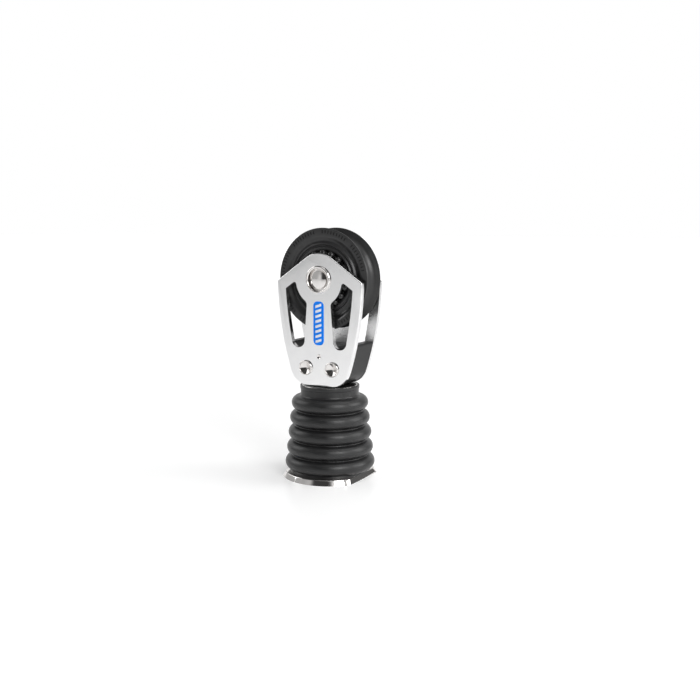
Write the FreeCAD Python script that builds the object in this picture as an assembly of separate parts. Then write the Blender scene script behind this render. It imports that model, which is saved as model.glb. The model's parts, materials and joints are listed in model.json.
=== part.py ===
import FreeCAD, Part
import math
import os

# Stand-up block: a ball-bearing sheave in a stainless head, on a tilting base held up by a rubber boot.
# Lengths are millimetres. Origin at the centre of the base's underside, +Z up, sheave axle along Y.

# Sheave
sheave_radius = 30.0
sheave_width = 16.2
groove_root_radius = 24.0     # sheave radius at the bottom of the rope groove
groove_radius = 6.5           # hollow that a 12 mm rope lies in
rim_land = 0.8                # thickness of each rim at its edge
rim_rounding = 0.35
groove_arc_half_width = 6.1   # the groove's round bottom runs out into straight flanks here
legend_band_radius = 26.0     # inner edge of the flat outer band on each side
cove_radius = 22.6            # deepest circle of the dished side
cove_depth = 1.3
ridge_radius = 20.7
ridge_drop = 0.5
side_groove_radius = 19.6
side_groove_drop = 1.1
lip_radius = 18.5
lip_drop = 0.6
lip_rounding = 0.25

# Bearings
axle_radius = 6.5
sleeve_wall = 2.5
roller_radius = 2.0
roller_length = 9.2
roller_count = 14
ball_radius = 2.2
ball_count = 17
ball_pitch_radius = 15.3
roller_cage_wall = 1.3
cage_pocket_clearance = 0.08
roller_cage_overhang = 0.6
ball_cage_rim = 0.6           # ball cage beyond the pitch circle
ball_cage_thickness = 2.0
running_clearance = 0.05

# Cheeks, sizes in the sheave's plane measured from the axle
cheek_thickness = 3.0
cheek_gap = 19.0              # between the two inner faces
boss_radius = 15.4            # rounded top of the cheek
shoulder_half_width = 28.8
shoulder_drop = 1.1
foot_half_width = 16.7        # where side and bottom would meet
foot_drop = 63.0
side_bulge = 2.8
foot_corner_radius = 12.6
shoulder_rounding = 0.9
cheek_edge_rounding = 0.5
slot_boss_radius = 15.7       # solid disc left round the axle
slot_side_rim = 5.9
slot_top_rim = 7.1
slot_foot_radius = 4.5
slot_foot_offset = 14.3
slot_foot_drop = 36.0
slot_web_offset = 8.2         # inner slot edge at the neck of the web
slot_web_drop = 15.0
slot_bulge = 0.55
slot_top_rounding = 1.4
slot_shoulder_rounding = 1.3
slot_neck_rounding = 3.0

# Formed ends of the axle and rivets
axle_head_radius = 8.2
axle_head_height = 1.5
axle_dish_radius = 5.3
axle_dish_lip = 1.6           # width of the half-round rim
rivet_offset = 9.0
rivet_drop = 52.3
rivet_radius = 3.0
rivet_head_radius = 4.5
rivet_head_height = 1.2
rivet_dish_radius = 2.6
rivet_dish_lip = 0.9
dish_dome = 0.35              # crown of the metal inside a dish
fit_clearance = 0.02
dowel_radius = 1.5
dowel_drop = 45.2
dowel_depth = 1.3
dowel_proud = 0.15
dowel_head_rounding = 0.1

# Label field on the front cheek
label_width = 7.0
label_top_drop = 12.6
label_bottom_drop = 38.4
label_corner_radius = 2.7
label_thickness = 0.3
label_edge_rounding = 0.12

# Head block between the cheeks
block_top_drop = 37.2          # top of the two outer shoulders
block_saddle_drop = 39.0       # lower middle, under the rope
block_bottom_drop = 62.5
block_inset = 0.25
block_top_rounding = 1.0
pocket_floor_drop = 48.1
pocket_radius = 7.4
cover_radius = 8.2
cover_thickness = 1.5
cover_chamfer = 0.3

# Swivel
post_radius = 5.0
post_thread_radius = 4.0
collar_radius = 16.6
collar_flange = 0.7
collar_edge_rounding = 0.2
collar_grip_height = 7.2
collar_gap = 0.3              # collar to the cheeks' bottom edge
thrust_washer_radius = 9.0
top_washer_radius = 7.0
top_washer_thickness = 0.95
post_nut_radius = 6.8
post_nut_height = 4.5
post_nut_slots = 4
post_nut_slot_width = 2.0
post_nut_slot_depth = 1.2
post_end = 0.8                # thread standing past the nut
post_chamfer = 0.6

# Universal joint
lower_pin_height = 13.0
link_length = 20.0            # from pin to pin
pin_radius = 3.5
pin_head_radius = 5.0
pin_head_height = 1.6
pin_head_rounding = 0.8
pin_tail = 2.2
clip_radius = 4.9
clip_thickness = 0.8
clip_depth = 0.6              # groove depth in the pin
clip_mouth = 5.0
eye_radius = 6.0
eye_thickness = 8.0
ear_radius = 6.5
ear_thickness = 4.0
ear_gap = 0.3
link_neck_radius = 3.8
fork_crown = 2.0              # room above the link's eye
fork_bridge = 6.5
lug_root_spread = 2.5         # the lugs widen towards the plate

# Base plate
plate_radius = 28.6
plate_top_radius = 27.2
plate_thickness = 3.1
flat_offset = 22.8
flat_corner_rounding = 5.0
plate_edge_rounding = 0.5
spigot_wall = 0.9
spigot_hook = 0.8
spigot_hook_height = 0.8
spigot_hook_gap = 0.35        # hook to the boot above the foot bead
fixing_circle_radius = 15.5
fixing_hole_radius = 2.7
fixing_sink_radius = 4.7
fixing_count = 4

# Rubber boot
boot_wall = 1.8
ring_count = 5
lowest_ring_height = 8.6
top_ring_drop = 10.7           # highest fold below the boot's top edge
ring_crest_top = 23.1         # outer radius of the highest fold
ring_crest_step = 1.0         # each fold below is this much larger
ring_lobe_radius = 4.2
ring_valley_radius = 0.5
boot_neck_radius = 17.5
boot_neck_fillet = 1.2
boot_lip_radius = 17.8
boot_lip_height = 1.9
boot_foot_radius = 23.4
boot_foot_fillet = 0.5
boot_gap = 0.3                # rubber to the metal that it grips

same_place = 1e-4             # two lengths this close count as equal

# Worked out from the sizes above
cheek_inner = cheek_gap / 2
cheek_outer = cheek_inner + cheek_thickness
sleeve_radius = axle_radius + sleeve_wall
roller_pitch_radius = sleeve_radius + running_clearance + roller_radius
sheave_bore = roller_pitch_radius + roller_radius + running_clearance
ball_row_offset = cheek_inner - ball_radius - 2 * running_clearance
side_channel_floor = ball_row_offset - ball_radius - running_clearance
side_channel_radius = ball_pitch_radius + ball_radius + 2 * running_clearance
upper_pin_height = lower_pin_height + link_length
fork_top = upper_pin_height + eye_radius + fork_crown
grip_low = fork_top + fork_bridge
collar_top = grip_low + collar_grip_height + collar_flange
axle_height = collar_top + collar_gap + foot_drop
block_top = axle_height - block_top_drop
saddle_top = axle_height - block_saddle_drop
block_bottom = axle_height - block_bottom_drop
boot_shelf = collar_top - collar_flange - 2 * running_clearance    # rubber under the collar's flange
boot_top = collar_top - 2 * running_clearance
pocket_floor = axle_height - pocket_floor_drop
top_washer_bottom = pocket_floor + running_clearance
post_shoulder = top_washer_bottom + top_washer_thickness
post_nut_top = post_shoulder + post_nut_height
lug_inner = eye_thickness / 2 + ear_gap
lug_outer = lug_inner + ear_thickness
foot_inner_radius = boot_foot_radius - boot_wall
collar_grip_radius = boot_neck_radius - boot_wall - boot_gap
top_ring_height = boot_top - top_ring_drop
ring_spacing = (top_ring_height - lowest_ring_height) / (ring_count - 1)

X = FreeCAD.Vector(1, 0, 0)
Y = FreeCAD.Vector(0, 1, 0)
Z = FreeCAD.Vector(0, 0, 1)
origin = FreeCAD.Vector(0, 0, 0)


def at(x, y, z):
    return FreeCAD.Vector(x, y, z)


def line(start, end):
    return Part.LineSegment(start, end).toShape()


def arc(start, middle, end):
    return Part.Arc(start, middle, end).toShape()


def upright(radius, bottom, top):
    return Part.makeCylinder(radius, top - bottom, at(0, 0, bottom), Z)


def crossways(radius, low, high, height, direction, x=0.0):
    # Cylinder along X or Y at a height above the deck
    start = at(x, 0, height) + direction * low
    return Part.makeCylinder(radius, high - low, start, direction)


def turned_upright(points):
    # Closed outline of (radius, height) pairs turned about the Z axis
    corners = [at(r, 0, z) for r, z in points]
    wire = Part.makePolygon(corners + corners[:1])
    return Part.Face(wire).revolve(origin, Z, 360)


def turned_on_axle(edges):
    # Edges drawn with x as the radius and y along the axle, turned about the axle
    solid = Part.Face(Part.Wire(edges)).revolve(origin, Y, 360)
    solid.translate(at(0, 0, axle_height))
    return solid


def rounded(solid, direction, spots, radius):
    # Rounds the straight edges that run along one direction and pass nearest to the given places
    chosen = []
    for spot in spots:
        def distance(edge):
            middle = edge.CenterOfMass - spot
            return (middle - direction * middle.dot(direction)).Length
        along = [e for e in solid.Edges if e.Curve.TypeId == "Part::GeomLine"
                 and abs(e.tangentAt(e.FirstParameter).dot(direction)) > 0.999]
        chosen.append(min(along, key=distance))
    return solid.makeFillet(radius, chosen)


def mirrored(solid, normal):
    return solid.mirror(origin, normal)


def edges_in_plane(solid, offset):
    # Edges that lie wholly in the plane y = offset
    return [e for e in solid.Edges
            if abs(e.BoundBox.YMin - offset) < same_place and abs(e.BoundBox.YMax - offset) < same_place]


def plate_outline(inset):
    # Cheek outline in the axle's plane, drawn smaller by the inset
    boss = boss_radius - inset
    shoulder_x = shoulder_half_width - inset
    foot_x = foot_half_width - inset
    shoulder_z = -shoulder_drop
    foot_z = -foot_drop + inset
    reach = math.hypot(shoulder_x, shoulder_z)
    lean = math.atan2(shoulder_z, shoulder_x) + math.acos(boss / reach)
    touch = at(boss * math.cos(lean), 0, boss * math.sin(lean))
    shoulder = at(shoulder_x, 0, shoulder_z)
    foot = at(foot_x, 0, foot_z)
    down = (foot - shoulder).normalize()
    side = (shoulder + foot) * 0.5 + at(-down.z, 0, down.x) * side_bulge

    def flip(p):
        return at(-p.x, p.y, p.z)

    edges = [arc(flip(touch), at(0, 0, boss), touch),
             line(touch, shoulder),
             arc(shoulder, side, foot),
             line(foot, flip(foot)),
             arc(flip(foot), flip(side), flip(shoulder)),
             line(flip(shoulder), flip(touch))]
    return Part.Face(Part.Wire(edges)), lean


def plate_solid(inset, low, high):
    # Cheek outline given a thickness from low to high along Y, at the axle's height
    face, _ = plate_outline(inset)
    solid = face.extrude(Y * (high - low))
    solid.translate(at(0, low, axle_height))
    foot_z = axle_height - foot_drop + inset
    foot_x = foot_half_width - inset
    corners = [at(foot_x, 0, foot_z), at(-foot_x, 0, foot_z)]
    return rounded(solid, Y, corners, foot_corner_radius - inset)


def slot_solid():
    # One of the two slots beside the web, cut right through a front cheek
    _, lean = plate_outline(0)
    rim_line = boss_radius - slot_top_rim

    def on_top_rim(x):
        return (rim_line - x * math.cos(lean)) / math.sin(lean)

    shoulder_x = shoulder_half_width - slot_side_rim
    shoulder = at(shoulder_x, 0, on_top_rim(shoulder_x))
    start = at(slot_web_offset, 0, on_top_rim(slot_web_offset))
    neck = at(slot_web_offset, 0, -slot_web_drop)
    foot_in = at(slot_foot_offset - slot_foot_radius, 0, -slot_foot_drop)
    foot_low = at(slot_foot_offset, 0, -slot_foot_drop - slot_foot_radius)
    foot_out = at(slot_foot_offset + slot_foot_radius, 0, -slot_foot_drop)
    down = (foot_out - shoulder).normalize()
    side = (shoulder + foot_out) * 0.5 + at(-down.z, 0, down.x) * slot_bulge
    wire = Part.Wire([line(start, shoulder), arc(shoulder, side, foot_out),
                      arc(foot_out, foot_low, foot_in), line(foot_in, neck), line(neck, start)])
    slot = Part.Face(wire).extrude(Y * (2 * cheek_thickness))
    boss = Part.makeCylinder(slot_boss_radius, 2 * cheek_thickness, origin, Y)
    slot = slot.cut(boss).removeSplitter()
    top_turn = lean - math.acos(rim_line / slot_boss_radius)
    top = at(slot_boss_radius * math.cos(top_turn), 0, slot_boss_radius * math.sin(top_turn))
    web_z = -math.sqrt(slot_boss_radius ** 2 - slot_web_offset ** 2)
    slot = rounded(slot, Y, [top], slot_top_rounding)
    slot = rounded(slot, Y, [shoulder], slot_shoulder_rounding)
    slot = rounded(slot, Y, [at(slot_web_offset, 0, web_z)], slot_neck_rounding)
    slot.translate(at(0, -cheek_outer - cheek_thickness / 2, axle_height))
    return slot


def front_cheek():
    cheek = plate_solid(0, -cheek_outer, -cheek_inner)
    shoulder_z = axle_height - shoulder_drop
    shoulders = [at(side * shoulder_half_width, 0, shoulder_z) for side in (1, -1)]
    cheek = rounded(cheek, Y, shoulders, shoulder_rounding)
    cheek = cheek.makeFillet(cheek_edge_rounding, edges_in_plane(cheek, -cheek_outer))
    slot = slot_solid()
    cheek = cheek.cut(slot).cut(mirrored(slot, X))
    cheek = cheek.cut(crossways(axle_radius + fit_clearance, -cheek_outer, -cheek_inner, axle_height, Y))
    for x in (-rivet_offset, rivet_offset):
        hole = crossways(rivet_radius + fit_clearance, -cheek_outer, -cheek_inner,
                         axle_height - rivet_drop, Y, x)
        cheek = cheek.cut(hole)
    hole = crossways(dowel_radius + fit_clearance, -cheek_outer, -cheek_inner, axle_height - dowel_drop, Y)
    return cheek.cut(hole)


def head_block():
    # Moulding between the cheeks: a low saddle under the rope, scalloped in line with the cheeks' slots
    block = plate_solid(block_inset, -cheek_inner, cheek_inner)
    width = 3 * shoulder_half_width
    corner = at(-width / 2, -cheek_inner, block_bottom)
    slab = Part.makeBox(width, cheek_gap, block_top - block_bottom, corner)
    block = block.common(slab)
    top_edges = [at(side * shoulder_half_width, 0, block_top) for side in (1, -1)]
    block = rounded(block, Y, top_edges, block_top_rounding)
    saddle = Part.makeBox(2 * slot_foot_offset, cheek_gap, block_top - saddle_top,
                          at(-slot_foot_offset, -cheek_inner, saddle_top))
    block = block.cut(saddle)
    for x in (-slot_foot_offset, slot_foot_offset):
        scallop = crossways(slot_foot_radius, -cheek_inner, cheek_inner, axle_height - slot_foot_drop, Y, x)
        block = block.cut(scallop)
    block = block.cut(upright(post_radius + running_clearance, block_bottom, pocket_floor))
    block = block.cut(upright(pocket_radius, pocket_floor, saddle_top))
    block = block.cut(upright(cover_radius, saddle_top - cover_thickness, saddle_top))
    for x in (-rivet_offset, rivet_offset):
        hole = crossways(rivet_radius + fit_clearance, -cheek_inner, cheek_inner,
                         axle_height - rivet_drop, Y, x)
        block = block.cut(hole)
    for low, high in ((-cheek_inner, dowel_depth - cheek_inner), (cheek_inner - dowel_depth, cheek_inner)):
        hole = crossways(dowel_radius + fit_clearance, low, high, axle_height - dowel_drop, Y)
        block = block.cut(hole)
    return block


def pocket_cover():
    cover = upright(cover_radius - fit_clearance, saddle_top - cover_thickness, saddle_top)
    top_edge = [e for e in cover.Edges if abs(e.BoundBox.ZMin - saddle_top) < same_place]
    return cover.makeChamfer(cover_chamfer, top_edge)


def formed_head(radius, height, dish, lip, face):
    # Half outline of a pressed head: domed dish, sloping wall, half-round rim and flank down to the cheek
    crown = face - height
    floor = face - fit_clearance
    bead = lip / 2
    inner = radius - lip
    return [arc(at(0, floor - dish_dome, 0), at(dish / 2, floor - dish_dome * 3 / 4, 0), at(dish, floor, 0)),
            line(at(dish, floor, 0), at(inner, crown + bead, 0)),
            arc(at(inner, crown + bead, 0), at(radius - bead, crown, 0), at(radius, crown + bead, 0)),
            line(at(radius, crown + bead, 0), at(radius, face, 0))]


def formed_pin(shank, head, height, dish, lip):
    # Pin across the cheeks with the same pressed head at both ends, centred on the axle line
    front = formed_head(head, height, dish, lip, -cheek_outer)
    rear = [e.mirror(origin, Y) for e in front]
    side = [line(at(head, -cheek_outer, 0), at(shank, -cheek_outer, 0)),
            line(at(shank, -cheek_outer, 0), at(shank, cheek_outer, 0)),
            line(at(shank, cheek_outer, 0), at(head, cheek_outer, 0))]
    floor = cheek_outer - fit_clearance + dish_dome
    centre = [line(at(0, -floor, 0), at(0, floor, 0))]
    return turned_on_axle(Part.__sortEdges__(front + side + rear + centre))


def axle():
    return formed_pin(axle_radius, axle_head_radius, axle_head_height, axle_dish_radius, axle_dish_lip)


def head_rivets():
    rivet = formed_pin(rivet_radius, rivet_head_radius, rivet_head_height, rivet_dish_radius, rivet_dish_lip)
    rivets = []
    for x in (-rivet_offset, rivet_offset):
        copy = rivet.copy()
        copy.translate(at(x, 0, -rivet_drop))
        rivets.append(copy)
    return Part.makeCompound(rivets)


def dowels():
    outer = cheek_outer + dowel_proud
    pin = crossways(dowel_radius, -outer, dowel_depth - cheek_inner, axle_height - dowel_drop, Y)
    pin = pin.makeFillet(dowel_head_rounding, edges_in_plane(pin, -outer))
    return Part.makeCompound([pin, mirrored(pin, Y)])


def front_label():
    height = label_bottom_drop - label_top_drop
    start = at(-label_width / 2, -cheek_outer - label_thickness, axle_height - label_bottom_drop)
    label = Part.makeBox(label_width, label_thickness, height, start)
    corners = [at(x, 0, axle_height - z) for x in (-label_width / 2, label_width / 2)
               for z in (label_top_drop, label_bottom_drop)]
    label = rounded(label, Y, corners, label_corner_radius)
    return label.makeFillet(label_edge_rounding, edges_in_plane(label, -cheek_outer - label_thickness))


def hub_sleeve():
    sleeve = crossways(sleeve_radius, -cheek_inner, cheek_inner, axle_height, Y)
    return sleeve.cut(crossways(axle_radius + fit_clearance, -cheek_inner, cheek_inner, axle_height, Y))


def sheave_side(sign):
    # Outer face of one flange, from the side channel out to the rim, with its cove and two ridges
    face = sign * sheave_width / 2
    back = -sign

    def spot(radius, drop):
        return at(radius, face + back * drop, 0)

    lip_start = spot(side_channel_radius, lip_drop + lip_rounding)
    lip = spot(lip_radius, lip_drop)
    side_groove = spot(side_groove_radius, side_groove_drop)
    ridge = spot(ridge_radius, ridge_drop)
    cove = spot(cove_radius, cove_depth)
    band = spot(legend_band_radius, 0)
    ridge_in = spot((side_groove_radius + ridge_radius) / 2, (side_groove_drop + ridge_drop) / 2)
    ridge_out = spot((cove_radius + ridge_radius) / 2, (cove_depth + ridge_drop) / 2)
    groove_in = spot((side_groove_radius + lip_radius) / 2, (side_groove_drop + lip_drop) / 2)
    cove_out = spot((cove_radius + legend_band_radius) / 2, cove_depth / 2)
    band_end = spot(sheave_radius - rim_rounding, 0)
    return [arc(lip_start, lip, groove_in), arc(groove_in, side_groove, ridge_in),
            arc(ridge_in, ridge, ridge_out), arc(ridge_out, cove, cove_out),
            line(cove_out, band), line(band, band_end)]


def sheave():
    half = sheave_width / 2
    centre = groove_root_radius + groove_radius
    mouth = half - rim_land
    wall = groove_arc_half_width
    depth = centre - math.sqrt(groove_radius ** 2 - wall ** 2)
    rim = sheave_radius - rim_rounding
    edges = [arc(at(depth, -wall, 0), at(groove_root_radius, 0, 0), at(depth, wall, 0))]
    for sign in (-1, 1):
        top_in = at(sheave_radius - rim_rounding, sign * mouth, 0)
        crest_in = at(sheave_radius, sign * (mouth + rim_rounding), 0)
        crest_out = at(sheave_radius, sign * (half - rim_rounding), 0)
        turn = rim_rounding * (1 - math.sqrt(0.5))
        edges.append(line(at(depth, sign * wall, 0), top_in))
        edges.append(arc(top_in, at(sheave_radius - turn, sign * (mouth + turn), 0), crest_in))
        edges.append(line(crest_in, crest_out))
        edges.append(arc(crest_out, at(sheave_radius - turn, sign * (half - turn), 0),
                         at(rim, sign * half, 0)))
        edges.extend(sheave_side(sign))
        channel_top = at(side_channel_radius, sign * (half - lip_drop - lip_rounding), 0)
        channel_root = at(side_channel_radius, sign * side_channel_floor, 0)
        edges.append(line(channel_top, channel_root))
        edges.append(line(channel_root, at(sheave_bore, sign * side_channel_floor, 0)))
    edges.append(line(at(sheave_bore, -side_channel_floor, 0), at(sheave_bore, side_channel_floor, 0)))
    return turned_on_axle(Part.__sortEdges__(edges))


def ring_of(solid, count):
    # Copies of one solid spaced evenly round the axle
    copies = []
    for i in range(count):
        copy = solid.copy()
        copy.rotate(at(0, 0, axle_height), Y, 360 * i / count)
        copies.append(copy)
    return copies


def rollers():
    height = axle_height + roller_pitch_radius
    roller = crossways(roller_radius, -roller_length / 2, roller_length / 2, height, Y)
    return Part.makeCompound(ring_of(roller, roller_count))


def roller_cage():
    half = roller_length / 2 + roller_cage_overhang
    outer = roller_pitch_radius + roller_cage_wall / 2
    cage = crossways(outer, -half, half, axle_height, Y)
    cage = cage.cut(crossways(outer - roller_cage_wall, -half, half, axle_height, Y))
    room = roller_length / 2 + cage_pocket_clearance
    height = axle_height + roller_pitch_radius
    pocket = crossways(roller_radius + cage_pocket_clearance, -room, room, height, Y)
    return cage.cut(Part.makeCompound(ring_of(pocket, roller_count)))


def ball_row(side):
    ball = Part.makeSphere(ball_radius, at(0, side * ball_row_offset, axle_height + ball_pitch_radius))
    return Part.makeCompound(ring_of(ball, ball_count))


def ball_cage(side):
    middle = side * ball_row_offset
    low = middle - ball_cage_thickness / 2
    high = middle + ball_cage_thickness / 2
    cage = crossways(ball_pitch_radius + ball_cage_rim, low, high, axle_height, Y)
    cage = cage.cut(crossways(sleeve_radius + 2 * running_clearance, low, high, axle_height, Y))
    pocket = crossways(ball_radius + cage_pocket_clearance, low, high, axle_height + ball_pitch_radius, Y)
    return cage.cut(Part.makeCompound(ring_of(pocket, ball_count)))


def stem():
    # Fork on the upper pin, polished collar that the boot grips, and the post that the head swivels on
    body = upright(collar_grip_radius, grip_low, collar_top - collar_flange)
    flange = upright(collar_radius, collar_top - collar_flange, collar_top)
    top_edge = [e for e in flange.Edges if abs(e.BoundBox.ZMin - collar_top) < same_place]
    flange = flange.makeFillet(collar_edge_rounding, top_edge)
    post = upright(post_radius, collar_top, post_shoulder)
    thread = upright(post_thread_radius, post_shoulder, post_nut_top + post_end)
    tip = [e for e in thread.Edges if abs(e.BoundBox.ZMin - post_nut_top - post_end) < same_place]
    thread = thread.makeChamfer(post_chamfer, tip)
    bridge = Part.makeBox(2 * ear_radius, 2 * lug_outer, fork_bridge, at(-ear_radius, -lug_outer, fork_top))
    solid = body.fuse([flange, post, thread, bridge])
    for side in (-1, 1):
        low = lug_inner if side > 0 else -lug_outer
        eye = crossways(ear_radius, low, low + ear_thickness, upper_pin_height, Y)
        leg = Part.makeBox(2 * ear_radius, ear_thickness, fork_top - upper_pin_height,
                           at(-ear_radius, low, upper_pin_height))
        solid = solid.fuse([eye, leg])
    solid = solid.cut(crossways(pin_radius + fit_clearance, -lug_outer, lug_outer, upper_pin_height, Y))
    return solid.removeSplitter()


def toggle_link():
    # Two eyes at right angles on one neck: the lower turns on the pin along X, the upper on the pin along Y
    half = eye_thickness / 2
    lower = crossways(eye_radius, -half, half, lower_pin_height, X)
    upper = crossways(eye_radius, -half, half, upper_pin_height, Y)
    neck = upright(link_neck_radius, lower_pin_height, upper_pin_height)
    link = lower.fuse([upper, neck]).removeSplitter()
    link = link.cut(crossways(pin_radius + running_clearance, -half, half, lower_pin_height, X))
    return link.cut(crossways(pin_radius + running_clearance, -half, half, upper_pin_height, Y))


def clevis_pin(height, direction):
    # Headed pin across the ears with a groove for its clip
    tail = lug_outer + pin_tail
    pin = crossways(pin_radius, -lug_outer, tail, height, direction)
    head = crossways(pin_head_radius, -lug_outer - pin_head_height, -lug_outer, height, direction)
    rim = [e for e in head.Edges if abs((e.CenterOfMass - at(0, 0, height)).dot(direction)
                                        + lug_outer + pin_head_height) < same_place]
    head = head.makeFillet(pin_head_rounding, rim)
    groove_low = lug_outer + fit_clearance
    groove = crossways(clip_radius, groove_low, groove_low + clip_thickness, height, direction)
    core = crossways(pin_radius - clip_depth, groove_low, groove_low + clip_thickness, height, direction)
    return pin.fuse(head).cut(groove.cut(core)).removeSplitter()


def pin_clip(height, direction):
    low = lug_outer + 1.5 * fit_clearance
    thick = clip_thickness - fit_clearance
    clip = crossways(clip_radius, low, low + thick, height, direction)
    clip = clip.cut(crossways(pin_radius - clip_depth + fit_clearance, low, low + thick, height, direction))
    across = Y if direction == X else X
    size = direction * thick + across * clip_mouth + Z * clip_radius
    corner = direction * low - across * (clip_mouth / 2) + Z * (height - clip_radius)
    mouth = Part.makeBox(abs(size.x), abs(size.y), abs(size.z), corner)
    return clip.cut(mouth)


def thrust_washer():
    top = block_bottom - running_clearance
    return upright(thrust_washer_radius, collar_top, top).cut(
        upright(post_radius + fit_clearance, collar_top, top))


def top_washer():
    ring = upright(top_washer_radius, top_washer_bottom, post_shoulder)
    return ring.cut(upright(post_radius + fit_clearance, top_washer_bottom, post_shoulder))


def post_nut():
    nut = upright(post_nut_radius, post_shoulder, post_nut_top)
    top_edge = [e for e in nut.Edges if abs(e.BoundBox.ZMin - post_nut_top) < same_place]
    nut = nut.makeChamfer(post_chamfer, top_edge)
    nut = nut.cut(upright(post_thread_radius + fit_clearance, post_shoulder, post_nut_top))
    slot = Part.makeBox(post_nut_slot_depth, post_nut_slot_width, post_nut_height,
                        at(post_nut_radius - post_nut_slot_depth, -post_nut_slot_width / 2, post_shoulder))
    for i in range(post_nut_slots):
        copy = slot.copy()
        copy.rotate(origin, Z, 360 * i / post_nut_slots)
        nut = nut.cut(copy)
    return nut


def base_disc():
    # Tapered round plate with two flats along Y
    disc = Part.makeCone(plate_radius, plate_top_radius, plate_thickness, origin, Z)
    length = 3 * plate_radius
    keep = Part.makeBox(2 * flat_offset, length, plate_thickness, at(-flat_offset, -length / 2, 0))
    disc = disc.common(keep)
    chosen = []
    for e in disc.Edges:
        box = e.BoundBox
        if box.ZLength > plate_thickness / 2 and abs(e.CenterOfMass.x) > flat_offset - 0.01:
            chosen.append(e)
    disc = disc.makeFillet(flat_corner_rounding, chosen)
    rim = [e for e in disc.Edges if abs(e.BoundBox.ZMin - plate_thickness) < same_place]
    return disc.makeFillet(plate_edge_rounding, rim)


def base_lug(side):
    # Upright ear for the lower pin, wider at its root on the plate
    low = lug_inner if side > 0 else -lug_outer
    eye = crossways(ear_radius, low, low + ear_thickness, lower_pin_height, X)
    root = ear_radius + lug_root_spread
    foot = [at(low, -root, plate_thickness), at(low, root, plate_thickness),
            at(low, ear_radius, lower_pin_height), at(low, -ear_radius, lower_pin_height)]
    web = Part.Face(Part.makePolygon(foot + foot[:1])).extrude(X * ear_thickness)
    return eye.fuse(web)


def base_plate():
    solid = base_disc()
    spigot_outer = foot_inner_radius - boot_gap
    hook_low = hook_height()
    hook_top = hook_low + spigot_hook_height
    spigot = turned_upright([(spigot_outer - spigot_wall, plate_thickness), (spigot_outer, plate_thickness),
                             (spigot_outer, hook_low), (spigot_outer + spigot_hook, hook_low),
                             (spigot_outer + spigot_hook / 2, hook_top),
                             (spigot_outer - spigot_wall, hook_top)])
    solid = solid.fuse([spigot, base_lug(1), base_lug(-1)]).removeSplitter()
    solid = solid.cut(crossways(pin_radius + fit_clearance, -lug_outer, lug_outer, lower_pin_height, X))
    sink_depth = fixing_sink_radius - fixing_hole_radius
    for i in range(fixing_count):
        turn = 2 * math.pi * (i + 0.5) / fixing_count
        centre = at(fixing_circle_radius * math.cos(turn), fixing_circle_radius * math.sin(turn), 0)
        hole = Part.makeCylinder(fixing_hole_radius, plate_thickness, centre, Z)
        sink = Part.makeCone(fixing_hole_radius, fixing_sink_radius, sink_depth,
                             centre + Z * (plate_thickness - sink_depth), Z)
        solid = solid.cut(hole).cut(sink)
    return solid


def hook_height():
    # Height at which the boot's inner face has moved out far enough to clear the hook
    spigot_outer = foot_inner_radius - boot_gap
    fillet_radius = boot_foot_fillet + boot_wall
    centre_r, centre_z = foot_fillet_centre()
    out = centre_r - (spigot_outer + spigot_hook + spigot_hook_gap)
    return centre_z + math.sqrt(fillet_radius ** 2 - out ** 2)


def ring_centres():
    # Centres of the folds' round lobes, from the lowest up
    centres = []
    for i in range(ring_count):
        crest = ring_crest_top + ring_crest_step * (ring_count - 1 - i)
        centres.append((crest - ring_lobe_radius, lowest_ring_height + ring_spacing * i))
    return centres


def foot_fillet_centre():
    lobe_r, lobe_z = ring_centres()[0]
    centre_r = boot_foot_radius + boot_foot_fillet
    rise = math.sqrt((ring_lobe_radius + boot_foot_fillet) ** 2 - (centre_r - lobe_r) ** 2)
    return centre_r, lobe_z - rise


def neck_fillet_centre():
    lobe_r, lobe_z = ring_centres()[-1]
    centre_r = boot_neck_radius + boot_neck_fillet
    rise = math.sqrt((ring_lobe_radius + boot_neck_fillet) ** 2 - (centre_r - lobe_r) ** 2)
    return centre_r, lobe_z + rise


def valley_centre(low, high):
    # Centre of the small hollow between two neighbouring lobes
    span = math.hypot(high[0] - low[0], high[1] - low[1])
    reach = ring_lobe_radius + ring_valley_radius
    out = math.sqrt(reach ** 2 - (span / 2) ** 2)
    middle = ((low[0] + high[0]) / 2, (low[1] + high[1]) / 2)
    return (middle[0] + out * (high[1] - low[1]) / span, middle[1] - out * (high[0] - low[0]) / span)


def boot_profile(wall):
    # Points and arcs of the folded wall from foot to neck, moved inwards by the wall
    lobes = ring_centres()
    hollows = [foot_fillet_centre()]
    hollows += [valley_centre(a, b) for a, b in zip(lobes, lobes[1:])]
    hollows.append(neck_fillet_centre())
    hollow_radii = [boot_foot_fillet] + [ring_valley_radius] * (len(lobes) - 1) + [boot_neck_fillet]
    lobe_radius = ring_lobe_radius - wall

    def meet(lobe, hollow):
        gap = math.hypot(hollow[0] - lobe[0], hollow[1] - lobe[1])
        share = lobe_radius / gap
        return at(lobe[0] + (hollow[0] - lobe[0]) * share, 0, lobe[1] + (hollow[1] - lobe[1]) * share)

    foot = at(boot_foot_radius - wall, 0, hollows[0][1])
    neck = at(boot_neck_radius - wall, 0, hollows[-1][1])
    edges = []
    start = foot
    for i, lobe in enumerate(lobes):
        low_meet = meet(lobe, hollows[i])
        high_meet = meet(lobe, hollows[i + 1])
        edges.append(hollow_arc(start, low_meet, hollows[i], hollow_radii[i] + wall))
        edges.append(arc(low_meet, at(lobe[0] + lobe_radius, 0, lobe[1]), high_meet))
        start = high_meet
    edges.append(hollow_arc(start, neck, hollows[-1], hollow_radii[-1] + wall))
    return edges, foot, neck


def hollow_arc(start, end, centre, radius):
    middle = at(centre[0], 0, centre[1])
    way = ((start - middle) + (end - middle)).normalize()
    return arc(start, middle + way * radius, end)


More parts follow.
